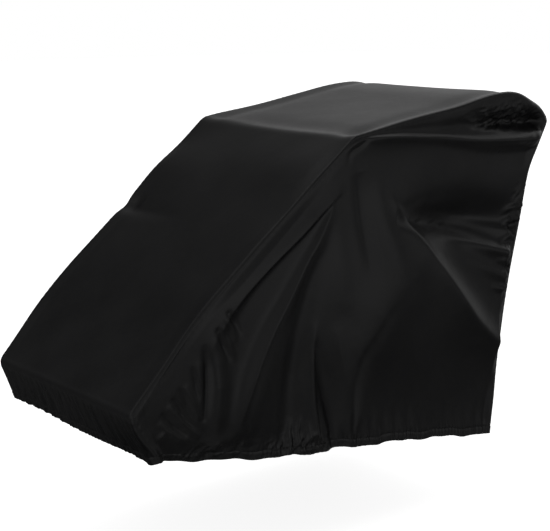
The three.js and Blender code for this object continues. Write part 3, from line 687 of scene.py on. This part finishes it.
def sheet(name, outer, outward, flat, materials):
    """A closed thin sheet from a grid of outer points and the directions that they face.

    `flat` holds each point's place in the uncut cloth.
    """
    rows_at = kept_every(outer.shape[0])
    cols_at = kept_every(outer.shape[1])
    inner = inner_face(outer, outward, rows_at, cols_at)
    m, n = outer.shape[:2]
    i, j = len(rows_at), len(cols_at)
    fine = np.arange(m * n).reshape(m, n)
    coarse = m * n + np.arange(i * j).reshape(i, j)
    quads = np.stack((fine[:-1, :-1], fine[1:, :-1], fine[1:, 1:], fine[:-1, 1:]), -1).reshape(-1, 4)
    inner_quads = np.stack((coarse[:-1, :-1], coarse[:-1, 1:], coarse[1:, 1:], coarse[1:, :-1]), -1)
    faces = [tuple(q) for q in quads.tolist()] + [tuple(q) for q in inner_quads.reshape(-1, 4).tolist()]
    outer_count = len(quads)
    for fine_side, coarse_side, at, turned in (
        (fine[:, 0], coarse[:, 0], rows_at, True),
        (fine[:, -1], coarse[:, -1], rows_at, False),
        (fine[0], coarse[0], cols_at, False),
        (fine[-1], coarse[-1], cols_at, True),
    ):
        faces += rim_faces(fine_side, coarse_side, at, turned)
    mesh = bpy.data.meshes.new(name)
    mesh.from_pydata(np.vstack((outer.reshape(-1, 3), inner.reshape(-1, 3))) - ROOF_REST, [], faces)
    uv = mesh.uv_layers.new(name="cloth")
    flat_points = np.vstack((flat.reshape(-1, 2), flat[np.ix_(rows_at, cols_at)].reshape(-1, 2)))
    corner = np.empty(len(mesh.loops), int)
    mesh.loops.foreach_get("vertex_index", corner)
    uv.data.foreach_set("uv", flat_points[corner].ravel())
    for material in materials:
        mesh.materials.append(material)
    slot = np.ones(len(mesh.polygons), int)
    slot[:outer_count] = 0
    mesh.polygons.foreach_set("material_index", slot)
    mesh.polygons.foreach_set("use_smooth", np.ones(len(mesh.polygons), bool))
    mesh.set_sharp_from_angle(angle=math.radians(60))
    mesh.update()
    piece = bpy.data.objects.new(name, mesh)
    bpy.context.collection.objects.link(piece)
    return piece


def kept_every(count):
    """The points of the outer face that the inner face has too, with the last one."""
    at = list(range(0, count, INNER_STEP))
    return np.array(at if at[-1] == count - 1 else at + [count - 1])


def inner_face(outer, outward, rows_at, cols_at):
    """The inner face, a thickness behind the outer one and behind every dip of it between its points."""
    m, n = outer.shape[:2]
    here = outer[np.ix_(rows_at, cols_at)]
    out = outward[np.ix_(rows_at, cols_at)]
    dip = np.zeros(here.shape[:2])
    for di in range(-INNER_STEP, INNER_STEP + 1):
        for dj in range(-INNER_STEP, INNER_STEP + 1):
            near = outer[np.ix_(np.clip(rows_at + di, 0, m - 1), np.clip(cols_at + dj, 0, n - 1))]
            dip = np.minimum(dip, ((near - here) * out).sum(-1))
    dip[[0, -1]] = 0
    dip[:, [0, -1]] = 0
    return here + out * (dip - CLOTH)[..., None]


def rim_faces(fine, coarse, at, turned):
    """Triangles that close the edge between a fine row of points and the coarse row behind it."""
    faces = []
    for k in range(len(at) - 1):
        for f in range(at[k], at[k + 1]):
            faces.append((fine[f], fine[f + 1], coarse[k]))
        faces.append((fine[at[k + 1]], coarse[k + 1], coarse[k]))
    return [tuple(int(v) for v in (face[::-1] if turned else face)) for face in faces]


# Rows of points close to a seam and to a hem, as distances from it.
BY_SEAM = (0, 0.0012, 0.0024, 0.0038, 0.0056, 0.0080, 0.0110)
BY_HEM = (0, 0.0035, 0.0080, 0.0130, 0.0175, 0.0205, 0.0225, 0.0245, 0.0275, 0.0320, 0.0375)
HEM_STITCHES = BY_HEM.index(HEM_RELIEF["height"])


def side_panel(name, side, materials):
    """One side panel and the stitches of its hem."""
    u = along_stops()[:, None]
    v = down_stops(side, u)
    place = side_place(side, u, v)
    y, z = place[..., 0], place[..., 1]
    sign = 1 if side == "near" else -1
    runs = edge_runs(side, *np.broadcast_arrays(u, v))
    reach = side_reach(side, y, z, *from_seam(side, y, z))
    outer = np.stack((sign * tied(reach, place, runs), y, z), axis=-1)
    front, rear, top, hem = side_arcs(outer)
    upright = np.minimum(front, rear)
    run = np.where(upright < top, np.where(front < rear, runs[0], runs[1]), runs[2])
    outward = facing(-sign * normals_of(outer), sign, run, np.minimum(upright, top))
    outer = outer + outward * side_relief(y, z, front, rear, top, hem)[..., None]
    stitches = outer[:, -1 - HEM_STITCHES]
    flat = np.stack((y, z), axis=-1)
    if side == "near":
        outer, outward, flat = outer[::-1], outward[::-1], flat[::-1]
    return sheet(name, outer, outward, flat, materials), thread(name + "_thread", stitches, (sign, 0, 0))


def along_stops():
    """Shares from nose to rear, closer together by the two upright seams."""
    ends = np.array(BY_SEAM) / SIDE_GRID["span"]
    middle = np.linspace(ends[-1], 1 - ends[-1], SIDE_GRID["along"])
    return np.concatenate((ends[:-1], middle, 1 - ends[-2::-1]))


def down_stops(side, u):
    """Shares from seam to hem of each column: rows at set distances from both, and even ones between."""
    top, bottom = side_place(side, u, 0.0), side_place(side, u, 1.0)
    length = np.linalg.norm(top - bottom, axis=-1)
    close = np.minimum(1.0, length / SIDE_GRID["short"])
    upper = np.linspace(BY_SEAM[-1], SIDE_GRID["upper"], SIDE_GRID["upper_rows"])
    first = np.concatenate((BY_SEAM, upper[1:])) * close
    last = length - np.array(BY_HEM)[::-1] * close
    share = np.linspace(0, 1, SIDE_GRID["down"])[1:-1]
    middle = first[:, -1:] + (last[:, :1] - first[:, -1:]) * share
    return np.concatenate((first, middle, last), axis=1) / length


def centre_panel(name, materials):
    """The centre panel and the stitches of its two hems."""
    spans = spaced(*((row["end"] or SEAM_LENGTH, row["spacing"]) for row in CENTRE_GRID))
    inside_hems = spans[(spans > BY_HEM[-1] + 0.002) & (spans < SEAM_LENGTH - BY_HEM[-1] - 0.002)]
    runs = np.concatenate((BY_HEM, inside_hems, SEAM_LENGTH - np.array(BY_HEM)[::-1]))
    soft = soft_at(runs)[:, None]
    edges = np.array(BY_SEAM) / HALF_WIDTH
    share = np.concatenate((edges[:-1] - 1, np.linspace(edges[-1] - 1, 1 - edges[-1], CENTRE_ACROSS),
                            1 - edges[-2::-1]))
    x = share[None, :] * edge_reach(runs)[:, None]
    flat_share = np.clip(x / (HALF_WIDTH - soft), -1, 1)
    run = drawn_up(flat_share, np.broadcast_to(runs[:, None], x.shape))
    point, normal = seam_at(run)
    yz = point + normal * centre_lift(x, run)[..., None]
    outer = np.concatenate((x[..., None], yz), axis=-1)
    edge = np.minimum(arc_from(outer, 1), arc_from(outer, 1, back=True))
    outward = facing(-normals_of(outer), np.sign(x), run, edge)
    outer = outer + outward * centre_relief(outer, edge, x, run)[..., None]
    front, rear = outer[HEM_STITCHES], outer[-1 - HEM_STITCHES]
    panel = sheet(name, outer[::-1], outward[::-1], np.stack((x, run), axis=-1)[::-1], materials)
    front_thread = thread(name + "_front_thread", front, (0, -1, 0))
    rear_thread = thread(name + "_rear_thread", rear, (0, 1, 0))
    return panel, front_thread, rear_thread


def thread(name, line, out):
    """A row of raised stitches along a line of points, as one joined mesh."""
    runs = np.concatenate(([0], np.cumsum(np.linalg.norm(np.diff(line, axis=0), axis=1))))
    starts = np.arange(STITCH["pitch"], runs[-1] - STITCH["pitch"], STITCH["pitch"])
    def at(run):
        return np.stack([np.interp(run, runs, line[:, k]) for k in range(3)], axis=-1)
    ahead = at(starts + STITCH["length"]) - at(starts)
    ahead /= np.linalg.norm(ahead, axis=1, keepdims=True)
    out = np.broadcast_to(np.array(out, float), ahead.shape)
    beside = np.cross(ahead, out)
    points = []
    for share, rise, width in ((0, -1.2, 0.5), (0.25, 0.8, 1), (0.75, 0.8, 1), (1, -1.2, 0.5)):
        middle = at(starts + share * STITCH["length"]) + out * STITCH["rise"] * rise
        for turn in range(4):
            angle = math.pi * turn / 2
            push = beside * math.cos(angle) + out * math.sin(angle)
            points.append(middle + push * STITCH["width"] * width)
    points = np.stack(points, axis=1)
    tube = [(4 * k + turn, 4 * k + (turn + 1) % 4, 4 * k + 4 + (turn + 1) % 4, 4 * k + 4 + turn)
            for k in range(3) for turn in range(4)]
    tube += [(3, 2, 1, 0), (12, 13, 14, 15)]
    count = points.shape[1]
    faces = [tuple(count * stitch + corner for corner in face)
             for stitch in range(len(starts)) for face in tube]
    mesh = bpy.data.meshes.new(name)
    mesh.from_pydata(points.reshape(-1, 3) - ROOF_REST, [], faces)
    mesh.polygons.foreach_set("use_smooth", np.ones(len(mesh.polygons), bool))
    mesh.materials.append(thread_cloth)
    mesh.update()
    piece = bpy.data.objects.new(name, mesh)
    bpy.context.collection.objects.link(piece)
    return piece


# Points of a side panel: `upper_rows` down to `upper` below the seam and `down` from there to the hem;
# `span` is the panel's length, and columns shorter than `short` have all their rows closer together.
SIDE_GRID = {"along": 418, "span": 1.5, "upper": 0.150, "upper_rows": 46, "down": 118, "short": 0.46}
CENTRE_ACROSS = 204
# Spacing of the centre panel's rows up to each end, from the front hem; the last row ends at the rear hem.
CENTRE_GRID = rows(
    "name end spacing",
    ("skirt", 0.20, 0.0038),
    ("slope", 0.86, 0.0094),
    ("roof", 1.45, 0.0068),
    ("hood", 1.86, 0.0058),
    ("rear", None, 0.0115),
)


# Cloth finishes. `worn` is the colour where the coating is rubbed or dusty, and `dulled` the roughness that
# it adds there. Lengths are in metres: thread spacing and relief, and the size and relief of fine creases.
FINISHES = rows(
    "name colour worn roughness dulled specular pitch weave size crease",
    ("coated cloth", (0.0058, 0.0058, 0.0063), (0.0098, 0.0096, 0.0096), 0.345, 0.05, 0.35,
     0.0011, 0.000022, 0.060, 0.00014),
    ("inside coating", (0.0100, 0.0100, 0.0106), (0.0170, 0.0168, 0.0166), 0.58, 0.10, 0.20,
     0.0011, 0.000050, 0.075, 0.00030),
    ("thread", (0.0110, 0.0110, 0.0118), (0.0200, 0.0196, 0.0192), 0.48, 0.12, 0.30,
     0.0006, 0.000060, 0.012, 0.00004),
)


def feed(tree, value, socket):
    """Joins an input to another socket, or sets it to a plain value."""
    if isinstance(value, bpy.types.NodeSocket):
        tree.links.new(value, socket)
    else:
        socket.default_value = value


def add(tree, kind, inputs, **settings):
    """A new shader node with its settings and its inputs, which are given by name or number."""
    node = tree.nodes.new("ShaderNode" + kind)
    for name, value in settings.items():
        setattr(node, name, value)
    for name, value in inputs.items():
        feed(tree, value, node.inputs[name])
    return node


def maths(tree, operation, *inputs):
    """The result of a maths node."""
    return add(tree, "Math", dict(enumerate(inputs)), operation=operation).outputs["Value"]


def node_group(name, outputs, **inputs):
    """A shader node group that takes a place and named numbers and gives named numbers."""
    group = bpy.data.node_groups.new(name, "ShaderNodeTree")
    group.interface.new_socket("Place", in_out="INPUT", socket_type="NodeSocketVector")
    for title, value in inputs.items():
        socket = group.interface.new_socket(title, in_out="INPUT", socket_type="NodeSocketFloat")
        socket.default_value = value
    for title in outputs:
        group.interface.new_socket(title, in_out="OUTPUT", socket_type="NodeSocketFloat")
    return group, group.nodes.new("NodeGroupInput").outputs, group.nodes.new("NodeGroupOutput").inputs


def weave_group():
    """Plain weave seen through its coating: small cushions at every crossing of two threads."""
    group, given, result = node_group("plain weave", ["Height"], Pitch=0.001, Relief=0.00002)
    parts = add(group, "SeparateXYZ", {"Vector": given["Place"]}).outputs
    turn = maths(group, "DIVIDE", 2 * math.pi, given["Pitch"])
    along_warp = maths(group, "SINE", maths(group, "MULTIPLY", parts["X"], turn))
    along_weft = maths(group, "SINE", maths(group, "MULTIPLY", parts["Y"], turn))
    cushion = maths(group, "MULTIPLY", along_warp, along_weft)
    feed(group, maths(group, "MULTIPLY", cushion, given["Relief"]), result["Height"])
    return group


def cloud(group, place, size, **inputs):
    """Soft noise at a size in metres."""
    scale = maths(group, "DIVIDE", 1.0, size)
    return add(group, "TexNoise", {"Vector": place, "Scale": scale, **inputs}).outputs["Fac"]


def crease_group():
    """Faint creases left from folding and handling, as height and as a mask of their crests."""
    group, given, result = node_group("faint creases", ["Height", "Crests"], Size=0.05, Relief=0.0002)
    soft = cloud(group, given["Place"], given["Size"], Detail=3.0, Roughness=0.45, Distortion=0.6)
    from_middle = maths(group, "ABSOLUTE", maths(group, "SUBTRACT", soft, 0.5))
    crest = maths(group, "SUBTRACT", 1.0, maths(group, "MULTIPLY", from_middle, 5.0))
    feed(group, maths(group, "MULTIPLY", crest, given["Relief"]), result["Height"])
    feed(group, maths(group, "POWER", maths(group, "MAXIMUM", crest, 0.0), 6.0), result["Crests"])
    return group


def handling_group():
    """Where the coating is rubbed or dusty, as a soft mask in broad patches and fine specks."""
    group, given, result = node_group("rubbed and dusty", ["Mask"], Patch=0.25, Speck=0.004)
    masks = []
    for size, low, high in (("Patch", 0.42, 0.72), ("Speck", 0.50, 0.80)):
        soft = cloud(group, given["Place"], given[size], Detail=4.0)
        spread = add(group, "MapRange", {"Value": soft, "From Min": low, "From Max": high},
                     interpolation_type="SMOOTHSTEP")
        masks.append(spread.outputs["Result"])
    patches, specks = masks
    specked = maths(group, "MULTIPLY_ADD", specks, 0.6, 0.4)
    feed(group, maths(group, "MULTIPLY", patches, specked), result["Mask"])
    return group


def placed(tree, group, place, **values):
    """The outputs of one use of a node group, with its own values."""
    return add(tree, "Group", {"Place": place, **values}, node_tree=group).outputs


def cloth_material(finish, weave, creases, handling, place_of="UV"):
    """A cloth whose weave, creases and wear are laid out on the flat cloth, or on the object for thread."""
    material = bpy.data.materials.new(finish["name"])
    material.use_nodes = True
    tree = material.node_tree
    shader = tree.nodes["Principled BSDF"].inputs
    place = add(tree, "TexCoord", {}).outputs[place_of]
    woven = placed(tree, weave, place, Pitch=finish["pitch"], Relief=finish["weave"])
    creased = placed(tree, creases, place, Size=finish["size"], Relief=finish["crease"])
    handled = placed(tree, handling, place)
    worn = maths(tree, "MULTIPLY_ADD", creased["Crests"], 0.3, handled["Mask"])
    fresh, rubbed = (*finish["colour"], 1), (*finish["worn"], 1)
    colour = add(tree, "Mix", {0: worn, 6: fresh, 7: rubbed}, data_type="RGBA")  # its colour sockets
    feed(tree, colour.outputs[2], shader["Base Color"])
    dull = maths(tree, "MULTIPLY_ADD", worn, finish["dulled"], finish["roughness"])
    feed(tree, dull, shader["Roughness"])
    feed(tree, finish["specular"], shader["Specular IOR Level"])
    height = maths(tree, "ADD", woven["Height"], creased["Height"])
    bump = add(tree, "Bump", {"Distance": 1.0, "Height": height})
    feed(tree, bump.outputs["Normal"], shader["Normal"])
    return material


def cloth_materials():
    """The outside of the cloth, its inside coating, which is also the turned hem's edge, and the thread."""
    groups = weave_group(), crease_group(), handling_group()
    outside_finish, inside_finish, thread_finish = FINISHES
    return (cloth_material(outside_finish, *groups), cloth_material(inside_finish, *groups),
            cloth_material(thread_finish, *groups, place_of="Object"))


CAMERA = {"place": (3.0843, -2.6145, 0.3081), "aim": (-0.0008, -0.2300, -0.4287), "lens": 89.987}


def camera():
    """The camera, which sees the near side, the slope and a little of the roof."""
    data = bpy.data.cameras.new("camera")
    data.lens = CAMERA["lens"]
    data.sensor_width = 36
    eye = bpy.data.objects.new("camera", data)
    eye.location = CAMERA["place"]
    view = Vector(CAMERA["aim"]) - Vector(CAMERA["place"])
    eye.rotation_euler = view.to_track_quat("-Z", "Y").to_euler()
    bpy.context.collection.objects.link(eye)
    bpy.context.scene.camera = eye


# Soft light round the cover: each source's compass bearing from +Y towards +X and its height, in degrees,
# and its brightness. LIGHT_FADE is how quickly each fades away from there.
LIGHT_FADE = 16.0
SOFT_LIGHT = rows(
    "name bearing height bright",
    ("upper rear, a little left", -31, 63, 1.104),
    ("middle rear, a little left", -13, 22, 1.093),
    ("overhead", 0, 88, 0.936),
    ("low right, a little rearward", 77, 2, 0.684),
    ("low rear left", -51, 2, 0.605),
    ("floor front right", 135, -25, 0.578),
    ("low front", 180, 2, 0.484),
    ("high front, a little left", -150, 42, 0.410),
    ("high rear", 0, 42, 0.397),
    ("low front, a little right", 154, 2, 0.346),
    ("middle front left", -141, 22, 0.328),
    ("under right", 90, -55, 0.281),
    ("high right, a little forward", 120, 42, 0.272),
    ("middle right, a little forward", 116, 22, 0.265),
    ("upper left", -83, 63, 0.258),
    ("low rear right", 51, 2, 0.251),
    ("middle front, a little left", -167, 22, 0.176),
    ("floor front left", -135, -25, 0.167),
    ("floor rear", 0, -25, 0.163),
    ("low rear", 0, 2, 0.119),
    ("low front right", 129, 2, 0.107),
    ("middle right, a little rearward", 64, 22, 0.105),
    ("high left, a little rearward", -60, 42, 0.093),
    ("floor front", 180, -25, 0.080),
    ("middle front right", 142, 22, 0.066),
    ("upper rear, a little right", 20, 63, 0.054),
    ("upper front", 174, 63, 0.047),
    ("floor right", 90, -25, 0.029),
    ("under rear", 0, -55, 0.026),
    ("floor left", -90, -25, 0.024),
)


def way_to(bearing, height):
    """The direction of a bearing and a height in degrees."""
    bearing, height = math.radians(bearing), math.radians(height)
    return (math.cos(height) * math.sin(bearing), math.cos(height) * math.cos(bearing), math.sin(height))


def studio():
    """A dim room with soft sources on its walls. The camera sees it as plain white."""
    world = bpy.data.worlds.new("studio")
    bpy.context.scene.world = world
    world.use_nodes = True
    tree = world.node_tree
    way = add(tree, "TexCoord", {}).outputs["Generated"]
    light = 0.0
    for row in SOFT_LIGHT:
        centre = way_to(row["bearing"], row["height"])
        towards = add(tree, "VectorMath", {0: way, 1: centre}, operation="DOT_PRODUCT").outputs["Value"]
        away = maths(tree, "SUBTRACT", towards, 1.0)
        spot = maths(tree, "EXPONENT", maths(tree, "MULTIPLY", away, LIGHT_FADE))
        light = maths(tree, "MULTIPLY_ADD", spot, row["bright"], light)
    room = tree.nodes["Background"]
    feed(tree, (1, 1, 1, 1), room.inputs["Color"])
    feed(tree, light, room.inputs["Strength"])
    white = add(tree, "Background", {"Color": (1, 1, 1, 1)})
    seen = add(tree, "LightPath", {}).outputs["Is Camera Ray"]
    pick = add(tree, "MixShader", {"Fac": seen, 1: room.outputs[0], 2: white.outputs[0]})
    feed(tree, pick.outputs["Shader"], tree.nodes["World Output"].inputs["Surface"])


def floor():
    """A wide pale floor that no gloss shows."""
    mesh = bpy.data.meshes.new("floor")
    reach = 30.0
    corners = [(-reach, -reach, 0), (reach, -reach, 0), (reach, reach, 0), (-reach, reach, 0)]
    mesh.from_pydata(np.array(corners, float) - ROOF_REST, [], [(0, 1, 2, 3)])
    pale = bpy.data.materials.new("pale floor")
    pale.use_nodes = True
    tree = pale.node_tree
    seen = add(tree, "LightPath", {}).outputs["Is Camera Ray"]
    shader = tree.nodes["Principled BSDF"].inputs
    for name, value in (
        ("Base Color", (0.9, 0.9, 0.9, 1)), ("Roughness", 1.0), ("Specular IOR Level", 0.0),
        ("Emission Color", (1, 1, 1, 1)), ("Emission Strength", maths(tree, "MULTIPLY", seen, 0.85)),
    ):
        feed(tree, value, shader[name])
    mesh.materials.append(pale)
    ground = bpy.data.objects.new("floor", mesh)
    ground.visible_glossy = False
    bpy.context.collection.objects.link(ground)


camera()
studio()
floor()
bpy.context.scene.view_settings.view_transform = "Standard"

outside, inside, thread_cloth = cloth_materials()

for (piece, *threads), node, flat, area in (
    (side_panel("near_side_cloth", "near", (outside, inside)), "side_panel_near", (1.50, 1.07), 0.995),
    (side_panel("far_side_cloth", "far", (outside, inside)), "side_panel_far", (1.50, 1.07), 0.975),
    (centre_panel("centre_cloth", (outside, inside)), "centre_panel", (0.70, 2.92), 1.958),
):
    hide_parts(node)
    for sewn in (piece, *threads):
        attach(sewn, "root")
